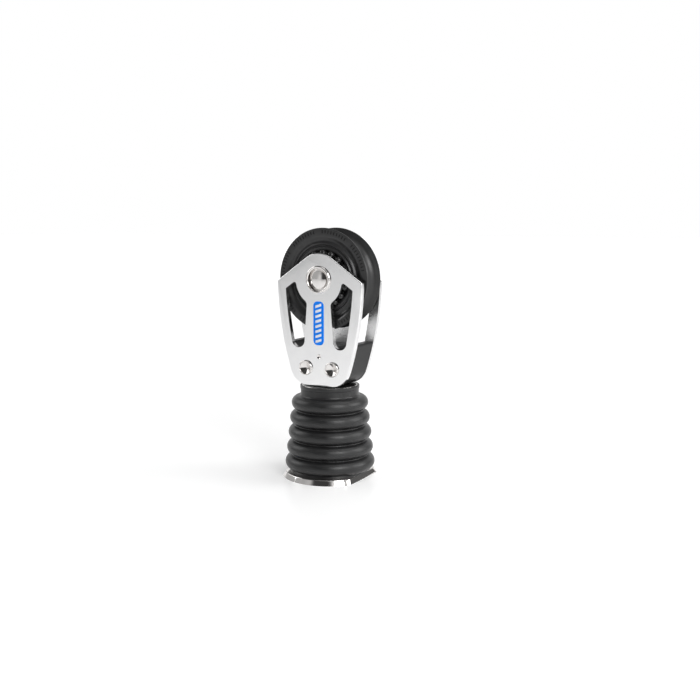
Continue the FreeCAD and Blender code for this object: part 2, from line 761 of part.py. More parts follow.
def boot():
    outside, foot_out, neck_out = boot_profile(0)
    inside, foot_in, neck_in = boot_profile(boot_wall)
    lip_low = boot_top - boot_lip_height
    lip_step = boot_lip_radius - boot_neck_radius
    outer = [foot_out, at(foot_out.x, 0, plate_thickness), at(foot_in.x, 0, plate_thickness), foot_in]
    upper = [neck_out, at(neck_out.x, 0, lip_low - lip_step), at(boot_lip_radius, 0, lip_low),
             at(boot_lip_radius, 0, boot_top - lip_step / 2), at(boot_lip_radius - lip_step / 2, 0, boot_top),
             at(collar_radius + boot_gap, 0, boot_top), at(collar_radius + boot_gap, 0, boot_shelf),
             at(neck_in.x, 0, boot_shelf), neck_in]
    edges = outside + inside
    edges += [line(a, b) for a, b in zip(outer, outer[1:])]
    edges += [line(a, b) for a, b in zip(upper, upper[1:])]
    face = Part.Face(Part.Wire(Part.__sortEdges__(edges)))
    return face.revolve(origin, Z, 360)


def save(name, shape):
    shape.exportStep("parts/" + name + ".step")


os.makedirs("parts", exist_ok=True)
cheek = front_cheek()
save("base_plate", base_plate())
save("boot", boot())
save("lower_pin", clevis_pin(lower_pin_height, X))
save("lower_pin_clip", pin_clip(lower_pin_height, X))
save("toggle_link", toggle_link())
save("upper_pin", clevis_pin(upper_pin_height, Y))
save("upper_pin_clip", pin_clip(upper_pin_height, Y))
save("stem", stem())
save("thrust_washer", thrust_washer())
save("top_washer", top_washer())
save("post_nut", post_nut())
save("head_block", head_block())
save("pocket_cover", pocket_cover())
save("front_cheek", cheek)
save("rear_cheek", mirrored(cheek, Y))
save("axle", axle())
save("hub_sleeve", hub_sleeve())
save("head_rivets", head_rivets())
save("dowels", dowels())
save("front_label", front_label())
save("sheave", sheave())
save("rollers", rollers())
save("roller_cage", roller_cage())
save("front_balls", ball_row(-1))
save("front_ball_cage", ball_cage(-1))
save("rear_balls", ball_row(1))
save("rear_ball_cage", ball_cage(1))
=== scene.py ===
import bpy
import json
import math
from mathutils import Matrix, Vector


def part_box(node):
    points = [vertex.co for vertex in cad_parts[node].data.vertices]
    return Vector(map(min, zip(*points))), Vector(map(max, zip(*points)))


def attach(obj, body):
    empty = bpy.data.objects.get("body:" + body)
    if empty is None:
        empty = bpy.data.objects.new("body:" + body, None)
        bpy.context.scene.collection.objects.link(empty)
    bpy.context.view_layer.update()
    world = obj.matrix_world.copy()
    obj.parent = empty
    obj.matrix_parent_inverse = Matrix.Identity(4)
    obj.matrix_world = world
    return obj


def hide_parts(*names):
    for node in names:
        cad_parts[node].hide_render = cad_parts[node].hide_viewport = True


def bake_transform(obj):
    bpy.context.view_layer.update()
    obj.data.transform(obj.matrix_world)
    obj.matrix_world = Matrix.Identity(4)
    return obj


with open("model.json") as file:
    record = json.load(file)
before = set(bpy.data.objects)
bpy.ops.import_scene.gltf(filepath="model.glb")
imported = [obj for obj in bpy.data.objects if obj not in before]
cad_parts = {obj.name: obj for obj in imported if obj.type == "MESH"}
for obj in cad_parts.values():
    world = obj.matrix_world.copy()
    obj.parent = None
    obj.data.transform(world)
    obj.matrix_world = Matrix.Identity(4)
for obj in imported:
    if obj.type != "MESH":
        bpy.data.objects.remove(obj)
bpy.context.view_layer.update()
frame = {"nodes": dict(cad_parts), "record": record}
mm = 0.001
scene = bpy.context.scene
axleLow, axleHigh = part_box("axle")
axle = (Vector(axleLow) + Vector(axleHigh)) / 2    # centre of the sheave
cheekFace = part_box("front_cheek")[0][1]            # y of the front cheek's outer face
plateTop = 3.1                                     # height of the base plate, mm
flatBend = 0.4                                     # degrees, CAD triangles that bend less are merged
weld = {"line": 1e-7, "turned": 2e-6, "cad": 1e-6}    # metres, nearer points are merged


# Small helpers for modelling

def deselectAll():
    bpy.ops.object.select_all(action="DESELECT")


def makeActive(piece):
    deselectAll()
    piece.select_set(True)
    bpy.context.view_layer.objects.active = piece


def arcPoints(centre, radius, start, end, count):
    # points on an arc in a flat drawing, angles in degrees
    found = []
    for i in range(count + 1):
        turn = math.radians(start + (end - start) * i / count)
        found.append((centre[0] + radius * math.cos(turn), centre[1] + radius * math.sin(turn)))
    return found


def drawLine(name, points, closed):
    # one vertex, then an edge pulled out of it to each next point
    deselectAll()
    bpy.ops.mesh.primitive_plane_add(size=mm)
    piece = bpy.context.object
    piece.name = name
    bpy.ops.object.mode_set(mode="EDIT")
    bpy.ops.mesh.select_all(action="SELECT")
    bpy.ops.mesh.merge(type="CENTER")
    bpy.ops.transform.translate(value=points[0])
    path = list(points) + ([points[0]] if closed else [])
    for a, b in zip(path, path[1:]):
        bpy.ops.mesh.extrude_region_move(TRANSFORM_OT_translate={"value": Vector(b) - Vector(a)})
    bpy.ops.mesh.select_all(action="SELECT")
    if closed:
        bpy.ops.mesh.remove_doubles(threshold=weld["line"])
    return piece


def finishMesh(piece, angle=35):
    # merged, facing outwards and smooth apart from its real edges
    makeActive(piece)
    bpy.ops.object.mode_set(mode="EDIT")
    bpy.ops.mesh.select_all(action="SELECT")
    bpy.ops.mesh.remove_doubles(threshold=weld["turned"])
    bpy.ops.mesh.normals_make_consistent(inside=False)
    bpy.ops.object.mode_set(mode="OBJECT")
    bpy.ops.object.shade_smooth_by_angle(angle=math.radians(angle))
    bpy.ops.object.transform_apply(location=True, rotation=True, scale=True)
    return piece


def spun(name, points, closed, centre, axis, steps, angle=35):
    # a drawn line turned all the way round an axis
    piece = drawLine(name, points, closed)
    bpy.ops.mesh.spin(steps=steps, angle=2 * math.pi, center=centre, axis=axis)
    bpy.ops.object.mode_set(mode="OBJECT")
    return finishMesh(piece, angle)


def onAxle(points):
    # (radius, y) pairs as places above the axle
    return [Vector((0, y, axle.z + r)) for r, y in points]


def bevelEdges(piece, width, segments=2, angle=35):
    makeActive(piece)
    bevel = piece.modifiers.new("edges", "BEVEL")
    bevel.width = width
    bevel.segments = segments
    bevel.limit_method = "ANGLE"
    bevel.angle_limit = math.radians(angle)
    bevel.harden_normals = False
    bpy.ops.object.modifier_apply(modifier=bevel.name)
    bpy.ops.object.shade_smooth_by_angle(angle=math.radians(angle))


def joinAll(piece, copies):
    makeActive(piece)
    for copy in copies:
        copy.select_set(True)
    bpy.ops.object.join()
    return piece


def copiesRound(piece, count, centre, axis):
    # evenly spaced copies round an axis, each with its own mesh, joined to the first
    copies = []
    for i in range(1, count):
        copy = piece.copy()
        copy.data = piece.data.copy()
        scene.collection.objects.link(copy)
        turn = Matrix.Rotation(2 * math.pi * i / count, 4, axis)
        copy.data.transform(Matrix.Translation(centre) @ turn @ Matrix.Translation(-Vector(centre)))
        copies.append(copy)
    return joinAll(piece, copies)


def cleanCopy(node, name, angle=30):
    # the CAD node's own form, with its loose triangles merged
    source = frame["nodes"][node]
    piece = bpy.data.objects.new(name, source.data.copy())
    scene.collection.objects.link(piece)
    makeActive(piece)
    bpy.ops.object.mode_set(mode="EDIT")
    bpy.ops.mesh.select_all(action="SELECT")
    bpy.ops.mesh.remove_doubles(threshold=weld["cad"])
    bpy.ops.mesh.dissolve_limited(angle_limit=math.radians(flatBend))
    bpy.ops.object.mode_set(mode="OBJECT")
    bpy.ops.object.shade_smooth_by_angle(angle=math.radians(angle))
    return piece


def evenNormals(piece):
    # wide faces decide how light runs over the narrow ones beside them
    makeActive(piece)
    even = piece.modifiers.new("even", "WEIGHTED_NORMAL")
    even.keep_sharp = True
    bpy.ops.object.modifier_apply(modifier=even.name)


def dress(piece, material):
    piece.data.materials.clear()
    piece.data.materials.append(material)


# Finishes

def newMaterial(name):
    material = bpy.data.materials.new(name)
    material.use_nodes = True
    nodes = material.node_tree.nodes
    nodes.clear()
    output = nodes.new("ShaderNodeOutputMaterial")
    shader = nodes.new("ShaderNodeBsdfPrincipled")
    material.node_tree.links.new(shader.outputs["BSDF"], output.inputs["Surface"])
    return material, shader


def addNoise(material, scale, detail=4.0, stretch=(1, 1, 1)):
    nodes, links = material.node_tree.nodes, material.node_tree.links
    place = nodes.new("ShaderNodeTexCoord")
    mapping = nodes.new("ShaderNodeMapping")
    mapping.inputs["Scale"].default_value = stretch
    noise = nodes.new("ShaderNodeTexNoise")
    noise.inputs["Scale"].default_value = scale
    noise.inputs["Detail"].default_value = detail
    links.new(place.outputs["Object"], mapping.inputs["Vector"])
    links.new(mapping.outputs["Vector"], noise.inputs["Vector"])
    return noise.outputs["Fac"]


noiseLow, noiseHigh = 0.3, 0.7    # nearly all of the noise lies between these


def spread(material, source, low, high):
    # stretches the noise to the range low to high
    nodes, links = material.node_tree.nodes, material.node_tree.links
    span = nodes.new("ShaderNodeMapRange")
    span.inputs["From Min"].default_value = noiseLow
    span.inputs["From Max"].default_value = noiseHigh
    span.inputs["To Min"].default_value = low
    span.inputs["To Max"].default_value = high
    links.new(source, span.inputs["Value"])
    return span.outputs["Result"]


def mixColors(material, source, first, second):
    nodes, links = material.node_tree.nodes, material.node_tree.links
    ramp = nodes.new("ShaderNodeValToRGB")
    ramp.color_ramp.elements[0].position = noiseLow
    ramp.color_ramp.elements[1].position = noiseHigh
    ramp.color_ramp.elements[0].color = (*first, 1)
    ramp.color_ramp.elements[1].color = (*second, 1)
    links.new(source, ramp.inputs["Fac"])
    return ramp.outputs["Color"]


def addBump(material, shader, height, distance, strength=1.0):
    nodes, links = material.node_tree.nodes, material.node_tree.links
    bump = nodes.new("ShaderNodeBump")
    bump.inputs["Strength"].default_value = strength
    bump.inputs["Distance"].default_value = distance
    links.new(height, bump.inputs["Height"])
    links.new(bump.outputs["Normal"], shader.inputs["Normal"])


def clouded(name, look, satin=0.0):
    # two colours and two degrees of gloss that drift into each other in small clouds
    material, shader = newMaterial(name)
    links = material.node_tree.links
    cloud = addNoise(material, look["cloud"])
    first, second = look["colors"]
    smooth, rough = look["roughness"]
    links.new(mixColors(material, cloud, first, second), shader.inputs["Base Color"])
    links.new(spread(material, cloud, smooth + satin, rough + satin), shader.inputs["Roughness"])
    return material, shader


steelLook = {"colors": ((0.80, 0.78, 0.765), (0.74, 0.72, 0.705)), "roughness": (0.05, 0.10), "cloud": 260,
             "grain": 900, "grainDepth": 0.004 * mm}


def mirrorSteel():
    # hard polished stainless: pins, heads, base and collar
    material, shader = clouded("mirrorSteel", steelLook)
    shader.inputs["Metallic"].default_value = 1.0
    grain = addNoise(material, steelLook["grain"], detail=2.0)
    addBump(material, shader, grain, steelLook["grainDepth"])
    return material


cheekLook = {"colors": ((0.88, 0.88, 0.88), (0.84, 0.84, 0.845)), "roughness": (0.09, 0.15), "cloud": 90,
             "satin": 0.14, "grain": 4000, "grainLength": 12.0, "grainDepth": 0.003 * mm}


def cheekSteel(name, satin=0.0):
    # pressed sheet with a fine polished grain running up and down
    material, shader = clouded(name, cheekLook, satin)
    shader.inputs["Metallic"].default_value = 1.0
    stretch = (1, 1, 1 / cheekLook["grainLength"])
    grain = addNoise(material, cheekLook["grain"], detail=2.0, stretch=stretch)
    addBump(material, shader, grain, cheekLook["grainDepth"])
    return material


rubberLook = {"colors": ((0.010, 0.010, 0.0105), (0.017, 0.017, 0.0175)), "roughness": (0.34, 0.44),
              "cloud": 140, "grain": 3500, "grainDepth": 0.02 * mm}


def bootRubber():
    # moulded rubber with a fine matte skin
    material, shader = clouded("bootRubber", rubberLook)
    grain = addNoise(material, rubberLook["grain"], detail=3.0)
    addBump(material, shader, grain, rubberLook["grainDepth"], strength=0.5)
    return material


plasticLook = {"colors": ((0.015, 0.015, 0.0155), (0.023, 0.023, 0.0235)), "roughness": (0.30, 0.40),
               "cloud": 160, "ringRadian": 0.28 * mm, "waveRadians": 20, "ringDepth": 0.006 * mm}


def turnedPlastic():
    # dark plastic with faint turning rings round the axle
    material, shader = clouded("turnedPlastic", plasticLook)
    nodes, links = material.node_tree.nodes, material.node_tree.links
    place = nodes.new("ShaderNodeTexCoord")
    centred = nodes.new("ShaderNodeMapping")
    centred.vector_type = "POINT"
    centred.inputs["Location"].default_value = (0, 0, -axle.z)
    rings = nodes.new("ShaderNodeTexWave")
    rings.wave_type = "RINGS"
    rings.rings_direction = "Y"
    # at scale 1 the wave runs through waveRadians in a unit of length
    rings.inputs["Scale"].default_value = 1 / plasticLook["ringRadian"] / plasticLook["waveRadians"]
    links.new(place.outputs["Object"], centred.inputs["Vector"])
    links.new(centred.outputs["Vector"], rings.inputs["Vector"])
    addBump(material, shader, rings.outputs["Fac"], plasticLook["ringDepth"])
    return material


markLook = {"colors": ((0.004, 0.004, 0.004), (0.008, 0.008, 0.008)), "roughness": (0.50, 0.60), "cloud": 800,
            "shine": 0.2}


def markPlastic():
    # the duller faces of the raised marks
    material, shader = clouded("markPlastic", markLook)
    shader.inputs["Specular IOR Level"].default_value = markLook["shine"]
    return material


mouldLook = {"colors": ((0.012, 0.012, 0.0125), (0.022, 0.022, 0.0225)), "roughness": (0.34, 0.46),
             "cloud": 120, "shine": 0.2, "grain": 2500, "grainDepth": 0.012 * mm}


def mouldedPlastic():
    # black moulded plastic of the head block and its cover
    material, shader = clouded("mouldedPlastic", mouldLook)
    shader.inputs["Specular IOR Level"].default_value = mouldLook["shine"]
    grain = addNoise(material, mouldLook["grain"], detail=3.0)
    addBump(material, shader, grain, mouldLook["grainDepth"], strength=0.5)
    return material


bearingLook = {"colors": ((0.010, 0.010, 0.010), (0.020, 0.020, 0.020)), "roughness": (0.12, 0.22),
               "cloud": 300}


def bearingPlastic():
    # black balls, rollers and cages, smoother than the sheave
    material, shader = clouded("bearingPlastic", bearingLook)
    return material


blueLook = {"colors": ((0.0, 0.24, 1.0), (0.0, 0.22, 0.97)), "roughness": (0.28, 0.36), "cloud": 400,
            "shine": 0.25}
whiteLook = {**blueLook, "colors": ((0.97, 0.97, 0.98), (0.94, 0.94, 0.96))}


def labelResin(name, look):
    # printed film with a low sheen
    material, shader = clouded(name, look)
    shader.inputs["Specular IOR Level"].default_value = look["shine"]
    return material


steel = mirrorSteel()
sheet = cheekSteel("cheekSteel")
satinSheet = cheekSteel("rearCheekSteel", cheekLook["satin"])
rubber = bootRubber()
turned = turnedPlastic()
marking = markPlastic()
moulded = mouldedPlastic()
bearing = bearingPlastic()
labelBlue = labelResin("labelBlue", blueLook)
labelWhite = labelResin("labelWhite", whiteLook)
finishOf = {"polished_stainless": steel, "cheek_stainless": sheet, "black_rubber": rubber,
            "block_plastic": moulded, "sheave_plastic": turned, "bearing_plastic": bearing,
            "roller_plastic": bearing, "label_blue": labelBlue}
for part in frame["record"]["subparts"]:
    dress(frame["nodes"][part["node"]], finishOf[part["material_slot"]])
print("finishes ready")


# Boot: two halves that meet in the valley at the toggle's height

bootSizes = {"folds": 5, "lowestFold": 8.6, "topFoldDrop": 10.7, "topCrest": 23.1, "crestStep": 1.0,
             "lobe": 4.2, "valley": 0.5, "wall": 1.8, "neck": 17.5, "neckFillet": 1.2, "foot": 23.4,
             "footFillet": 0.5, "lip": 17.8, "lipHeight": 1.9, "rim": 16.9, "shelf": 0.7, "steps": 96,
             "arcSteps": 10, "lipSteps": 3, "rimSteps": 4, "splitAfter": 2}


def bootWall(inset):
    # the folded wall as one list of (radius, height) points for each stretch between valleys
    s = bootSizes
    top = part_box("boot")[1][2] / mm
    rise = (top - s["topFoldDrop"] - s["lowestFold"]) / (s["folds"] - 1)
    lobes = []
    for i in range(s["folds"]):
        crest = s["topCrest"] + s["crestStep"] * (s["folds"] - 1 - i)
        lobes.append((crest - s["lobe"], s["lowestFold"] + rise * i))
    footR, footZ = s["foot"] + s["footFillet"], lobes[0][1]
    footZ -= math.sqrt((s["lobe"] + s["footFillet"]) ** 2 - (footR - lobes[0][0]) ** 2)
    neckR, neckZ = s["neck"] + s["neckFillet"], lobes[-1][1]
    neckZ += math.sqrt((s["lobe"] + s["neckFillet"]) ** 2 - (neckR - lobes[-1][0]) ** 2)
    hollows = [(footR, footZ, s["footFillet"])]
    for low, high in zip(lobes, lobes[1:]):
        span = math.hypot(high[0] - low[0], high[1] - low[1])
        out = math.sqrt((s["lobe"] + s["valley"]) ** 2 - (span / 2) ** 2) / span
        hollows.append(((low[0] + high[0]) / 2 + out * (high[1] - low[1]),
                        (low[1] + high[1]) / 2 - out * (high[0] - low[0]), s["valley"]))
    hollows.append((neckR, neckZ, s["neckFillet"]))

    def lean(a, b):
        return math.degrees(math.atan2(b[1] - a[1], b[0] - a[0]))

    stretches = []
    for i, lobe in enumerate(lobes):
        below, above = hollows[i], hollows[i + 1]
        down, up = lean(lobe, below), lean(lobe, above)
        fromWall, toWall = 180, 180
        if i > 0:
            fromWall = (lean(below, lobes[i - 1]) % 360 + lean(below, lobe) % 360) / 2
        if i < len(lobes) - 1:
            toWall = (lean(above, lobe) % 360 + lean(above, lobes[i + 1]) % 360) / 2
        points = arcPoints(below, below[2] + inset, fromWall, down + 180, s["arcSteps"] // 2)
        points += arcPoints(lobe, s["lobe"] - inset, down, up, s["arcSteps"])[1:]
        points += arcPoints(above, above[2] + inset, up + 180, toWall, s["arcSteps"] // 2)[1:]
        stretches.append(points)
    return stretches


def bootHalf(name, outside, inside, extra=()):
    loop = outside + list(extra) + inside[::-1]
    points = [Vector((r * mm, 0, z * mm)) for r, z in loop]
    piece = spun(name, points, True, (0, 0, 0), (0, 0, 1), bootSizes["steps"])
    dress(piece, rubber)
    return piece


def buildBoot():
    s = bootSizes
    outer, inner = bootWall(0), bootWall(s["wall"])
    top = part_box("boot")[1][2] / mm
    cut = s["splitAfter"]

    def joined(stretches):
        points = list(stretches[0])
        for stretch in stretches[1:]:
            points += stretch[1:]
        return points

    lowOut = [(s["foot"], plateTop)] + joined(outer[:cut])
    lowIn = [(s["foot"] - s["wall"], plateTop)] + joined(inner[:cut])
    lower = bootHalf("bootLower", lowOut, lowIn)
    step = s["lip"] - s["neck"]
    lipLow = top - s["lipHeight"]
    lip = [(s["neck"], lipLow - step)]
    lip += arcPoints((s["neck"] + step / 2, lipLow), step / 2, -90, 0, s["lipSteps"])
    lip += arcPoints((s["lip"] - step / 2, top - step / 2), step / 2, 0, 90, s["rimSteps"])
    lip += [(s["rim"], top), (s["rim"], top - s["shelf"]), (s["neck"] - s["wall"], top - s["shelf"])]
    upper = bootHalf("bootUpper", joined(outer[cut:]), joined(inner[cut:]), lip)
    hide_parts("boot")
    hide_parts("boot")
    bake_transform(lower)
    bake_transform(upper)


buildBoot()


# Sheave

sheaveSizes = {"radius": 30.0, "width": 16.2, "root": 24.0, "groove": 6.5, "grooveArc": 6.1, "rimLand": 0.8,
               "rimRounding": 0.35, "band": 26.0, "cove": 22.6, "coveDepth": 1.7, "ridge": 20.7,
               "ridgeDrop": 0.5, "sideGroove": 19.6, "sideGrooveDrop": 1.5, "lip": 18.5, "lipDrop": 0.6,
               "channel": 17.6, "channelDrop": 0.25, "channelFloor": 4.95, "bore": 13.15, "steps": 144,
               "sideSteps": 7, "grooveSteps": 14, "edgeSteps": 4, "crease": 40}


def smoothRun(points, count):
    # a soft curve through the points, in cubic spans that run level at each of them
    run = []
    for a, b in zip(points, points[1:]):
        for i in range(count):
            t = i / count
            ease = t * t * (3 - 2 * t)
            run.append((a[0] + (b[0] - a[0]) * t, a[1] + (b[1] - a[1]) * ease))
    run.append(points[-1])
    return run


def buildSheave():
    s = sheaveSizes
    half = s["width"] / 2
    channelTop = half - s["lipDrop"] - s["channelDrop"]
    side = smoothRun([(s["channel"], channelTop), (s["lip"], half - s["lipDrop"]),
                      (s["sideGroove"], half - s["sideGrooveDrop"]), (s["ridge"], half - s["ridgeDrop"]),
                      (s["cove"], half - s["coveDepth"]), (s["band"], half)], s["sideSteps"])
    grooveLean = math.degrees(math.asin(s["grooveArc"] / s["groove"]))
    centre = (s["root"] + s["groove"], 0)
    # from the +y flank to the root
    groove = arcPoints(centre, s["groove"], 180 - grooveLean, 180, s["grooveSteps"])
    rim = s["rimRounding"]
    edge = arcPoints((s["radius"] - rim, half - rim), rim, 90, 0, s["edgeSteps"])
    edge += arcPoints((s["radius"] - rim, half - s["rimLand"] + rim), rim, 0, -90, s["edgeSteps"])
    rear = [(s["bore"], s["channelFloor"]), (s["channel"], s["channelFloor"])] + side + edge + groove
    rear = [(s["bore"], 0)] + rear
    front = [(r, -y) for r, y in rear]
    loop = rear + front[::-1][1:-1]
    points = onAxle([(r * mm, y * mm) for r, y in loop])
    piece = spun("grooveWheel", points, True, axle, (0, 1, 0), s["steps"], s["crease"])
    dress(piece, turned)
    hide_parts("sheave")
    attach(piece, "sheave")
    print("sheave done")


buildSheave()


# Plain raised dashes round the outer band, where a real sheave states its rope size

markSizes = {"radius": 27.75, "length": 1.9, "width": 0.55, "proud": 0.12, "edge": 0.05, "places": 88,
             "run": 11, "filled": 9}


def buildMarks(side, name):
    s = markSizes
    face = side * sheaveSizes["width"] / 2 * mm
    deselectAll()
    bpy.ops.mesh.primitive_cube_add(size=1, location=(0, face, axle.z + s["radius"] * mm))
    mark = bpy.context.object
    mark.name = name
    mark.scale = (s["width"] * mm, 2 * s["proud"] * mm, s["length"] * mm)
    bpy.ops.object.transform_apply(location=True, rotation=True, scale=True)
    bevelEdges(mark, s["edge"] * mm, 1)
    first = mark.data.copy()
    marks = []
    for i in range(1, s["places"]):
        if i % s["run"] < s["filled"]:
            copy = bpy.data.objects.new(name, first.copy())
            scene.collection.objects.link(copy)
            turn = Matrix.Rotation(2 * math.pi * i / s["places"], 4, "Y")
            copy.data.transform(Matrix.Translation(axle) @ turn @ Matrix.Translation(-axle))
            marks.append(copy)
    joinAll(mark, marks)
    dress(mark, marking)
    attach(mark, "sheave")


buildMarks(-1, "frontMarks")
buildMarks(1, "rearMarks")
print("marks done")


# Balls on both sides of the sheave

ballSizes = {"radius": 2.2, "count": 17, "pitch": 15.3, "steps": 20, "arcSteps": 10, "crease": 60}


def buildBalls(node, name):
    s = ballSizes
    low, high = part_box(node)
    row = (low[1] + high[1]) / 2
    meridian = arcPoints((0, 0), s["radius"] * mm, -90, 90, s["arcSteps"])
    points = [Vector((x, row, axle.z + s["pitch"] * mm + z)) for x, z in meridian]
    middle = (0, row, axle.z + s["pitch"] * mm)
    ball = spun(name, points, False, middle, (0, 0, 1), s["steps"], s["crease"])
    ball = copiesRound(ball, s["count"], Vector((0, row, axle.z)), "Y")
    dress(ball, bearing)
    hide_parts(node)
    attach(ball, "front_ball_train" if node.startswith("front") else "rear_ball_train")


buildBalls("front_balls", "frontBalls")
buildBalls("rear_balls", "rearBalls")
print("balls done")


# Axle, rivets and dowels with pressed ends: a ring round a domed button, or round a cone

headSizes = {"axle": {"shank": 6.5, "radius": 8.2, "height": 1.5, "lip": 1.6, "button": 5.2, "dome": 1.0,
                      "groove": 1.7, "grooveWall": 0.35},
             "rivet": {"shank": 3.0, "radius": 4.5, "height": 1.2, "lip": 0.9, "cone": 1.3},
             "dowel": {"shank": 1.4, "radius": 1.5, "height": 0.15, "lip": 0.25, "cone": 0.8,
                       "innerEnd": 8.2},
             "bluntShare": 0.25, "bluntDepth": 0.8, "domeSteps": 6, "rimSteps": 8, "steps": 72, "crease": 40,
             "rivetSpread": 9.0, "rivetDrop": 52.3, "dowelDrop": 45.2}


def hollowLine(sizes, face, inner):
    # (radius, y) from the middle of the head out to its ring
    if "cone" in sizes:
        blunt = (inner * headSizes["bluntShare"], face - sizes["cone"] * headSizes["bluntDepth"])
        return [(0, face - sizes["cone"]), blunt]
    count = headSizes["domeSteps"]
    dome = [(sizes["button"] * i / count, face + sizes["dome"] * (1 - (i / count) ** 2))
            for i in range(count + 1)]
    bottom = face - sizes["groove"]
    return dome + [(sizes["button"] + sizes["grooveWall"] / 2, bottom), (inner - sizes["grooveWall"], bottom)]


def pressedPin(name, sizes, place, side=0):
    # side 0 runs right through with a head at both ends; -1 and 1 are a short pin at the front or rear
    face = -cheekFace / mm
    crown, bead = face + sizes["height"], sizes["lip"] / 2
    inner = sizes["radius"] - sizes["lip"]
    rimArc = arcPoints((sizes["radius"] - bead, crown - bead), bead, 180, 0, headSizes["rimSteps"])
    end = hollowLine(sizes, face, inner) + rimArc + [(sizes["radius"], face), (sizes["shank"], face)]
    if side:
        innerEnd = [(sizes["shank"], sizes["innerEnd"]), (0, sizes["innerEnd"])]
        whole = [(r, side * y) for r, y in end + innerEnd]
    else:
        whole = end + [(r, -y) for r, y in end[::-1]]
    points = [Vector((place[0], y * mm, place[1] + r * mm)) for r, y in whole]
    centre = (place[0], 0, place[1])
    piece = spun(name, points, False, centre, (0, 1, 0), headSizes["steps"], headSizes["crease"])
    dress(piece, steel)
    return piece


def buildPins():
    pin = pressedPin("axlePin", headSizes["axle"], (0, axle.z))
    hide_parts("axle")
    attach(pin, "head")
    low = axle.z - headSizes["rivetDrop"] * mm
    left = pressedPin("rivetLeft", headSizes["rivet"], (-headSizes["rivetSpread"] * mm, low))
    right = pressedPin("rivetRight", headSizes["rivet"], (headSizes["rivetSpread"] * mm, low))
    for rivet in (left, right):
        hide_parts("head_rivets")
        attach(rivet, "head")
    for side, name in ((-1, "dowelFront"), (1, "dowelRear")):
        dowel = pressedPin(name, headSizes["dowel"], (0, axle.z - headSizes["dowelDrop"] * mm), side)
        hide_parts("dowels")
        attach(dowel, "head")
    print("axle, rivets and dowels done")


buildPins()


# Cheeks, head block and base keep their CAD form, merged so that they shade cleanly

def buildCheek(node, name, finish):
    piece = cleanCopy(node, name)
    dress(piece, finish)
    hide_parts(node)
    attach(piece, "head")


buildCheek("front_cheek", "frontCheek", sheet)
buildCheek("rear_cheek", "rearCheek", satinSheet)


blockEdge = 0.35 * mm


def buildBlock():
    piece = cleanCopy("head_block", "headBlock")
    bevelEdges(piece, blockEdge)
    dress(piece, moulded)
    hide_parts("head_block")
    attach(piece, "head")


buildBlock()


plateSizes = {"flatFrom": 19.5, "flatAt": 22.8, "lean": 0.7}


def buildBase():
    # the plate's own form, with its two flats leaning in like the round part
    s = plateSizes
    piece = cleanCopy("base_plate", "basePlate")
    for vertex in piece.data.vertices:
        x, height = vertex.co.x / mm, vertex.co.z / mm
        share = min(1, max(0, (abs(x) - s["flatFrom"]) / (s["flatAt"] - s["flatFrom"])))
        outwards = share * s["lean"] * (1 - 2 * height / plateTop)
        vertex.co.x += outwards * mm if x > 0 else -outwards * mm
    evenNormals(piece)
    dress(piece, steel)
    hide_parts("base_plate")
    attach(piece, "base")


buildBase()


# sizes of the thin dark ring that paints the shade in the gap under the head
shadeRingSizes = {"inner": 9.3, "outer": 16.2, "thickness": 0.18, "lift": 0.1, "steps": 96}


def buildStem():
    piece = cleanCopy("stem", "swivelStem")
    evenNormals(piece)
    dress(piece, steel)
    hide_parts("stem")
    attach(piece, "stem")
    # painted shade: a thin dark ring on top of the collar, under the head, standing in for the shadowed gap
    # between them
    s = shadeRingSizes
    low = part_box("boot")[1][2] + s["lift"] * mm
    high = low + s["thickness"] * mm
    inner, outer = s["inner"] * mm, s["outer"] * mm
    corners = [(inner, low), (outer, low), (outer, high), (inner, high)]
    points = [Vector((r, 0, z)) for r, z in corners]
    shadeRing = spun("collarShadeRing", points, True, (0, 0, 0), (0, 0, 1), s["steps"])
    dress(shadeRing, bearing)
    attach(shadeRing, "stem")


buildStem()
print("cheeks, block, base and stem done")


# Label field with plain slanted bars

labelSizes = {"bars": 8, "barWidth": 4.0, "barHeight": 1.5, "slant": 1.3, "raised": 0.02, "edge": 0.01,
              "margin": 2.6}


def buildLabel():
    piece = cleanCopy("front_label", "labelField")
    dress(piece, labelBlue)
    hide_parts("front_label")
    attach(piece, "head")
    s = labelSizes
    low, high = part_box("front_label")
    first = low[2] + s["margin"] * mm
    last = high[2] - s["margin"] * mm
    deselectAll()
    bpy.ops.mesh.primitive_cube_add(size=1, location=(0, low[1], first))
    bar = bpy.context.object
    bar.name = "labelStripes"
    bar.scale = (s["barWidth"] * mm, 2 * s["raised"] * mm, s["barHeight"] * mm)
    bpy.ops.object.transform_apply(location=True, rotation=True, scale=True)
    for vertex in bar.data.vertices:
        vertex.co.z += s["slant"] * mm * vertex.co.x / (s["barWidth"] * mm)
    bevelEdges(bar, s["edge"] * mm)
    stripes = []
    for i in range(1, s["bars"]):
        copy = bar.copy()
        copy.data = bar.data.copy()
        scene.collection.objects.link(copy)
        copy.data.transform(Matrix.Translation((0, 0, (last - first) * i / (s["bars"] - 1))))
        stripes.append(copy)
    joinAll(bar, stripes)
    dress(bar, labelWhite)
    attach(bar, "head")


buildLabel()
print("label done")


# Studio: pale floor, soft sky and lamps

floorLook = {"size": 16, "color": 0.84, "glow": 0.23, "horizonGlow": 0.62, "mirroredGlow": 0.24,
             "liftStart": 0.3, "liftEnd": 1.6, "fadeStart": 0.35, "fadeEnd": 3.0, "roughness": 0.28,
             "specular": 0.14}


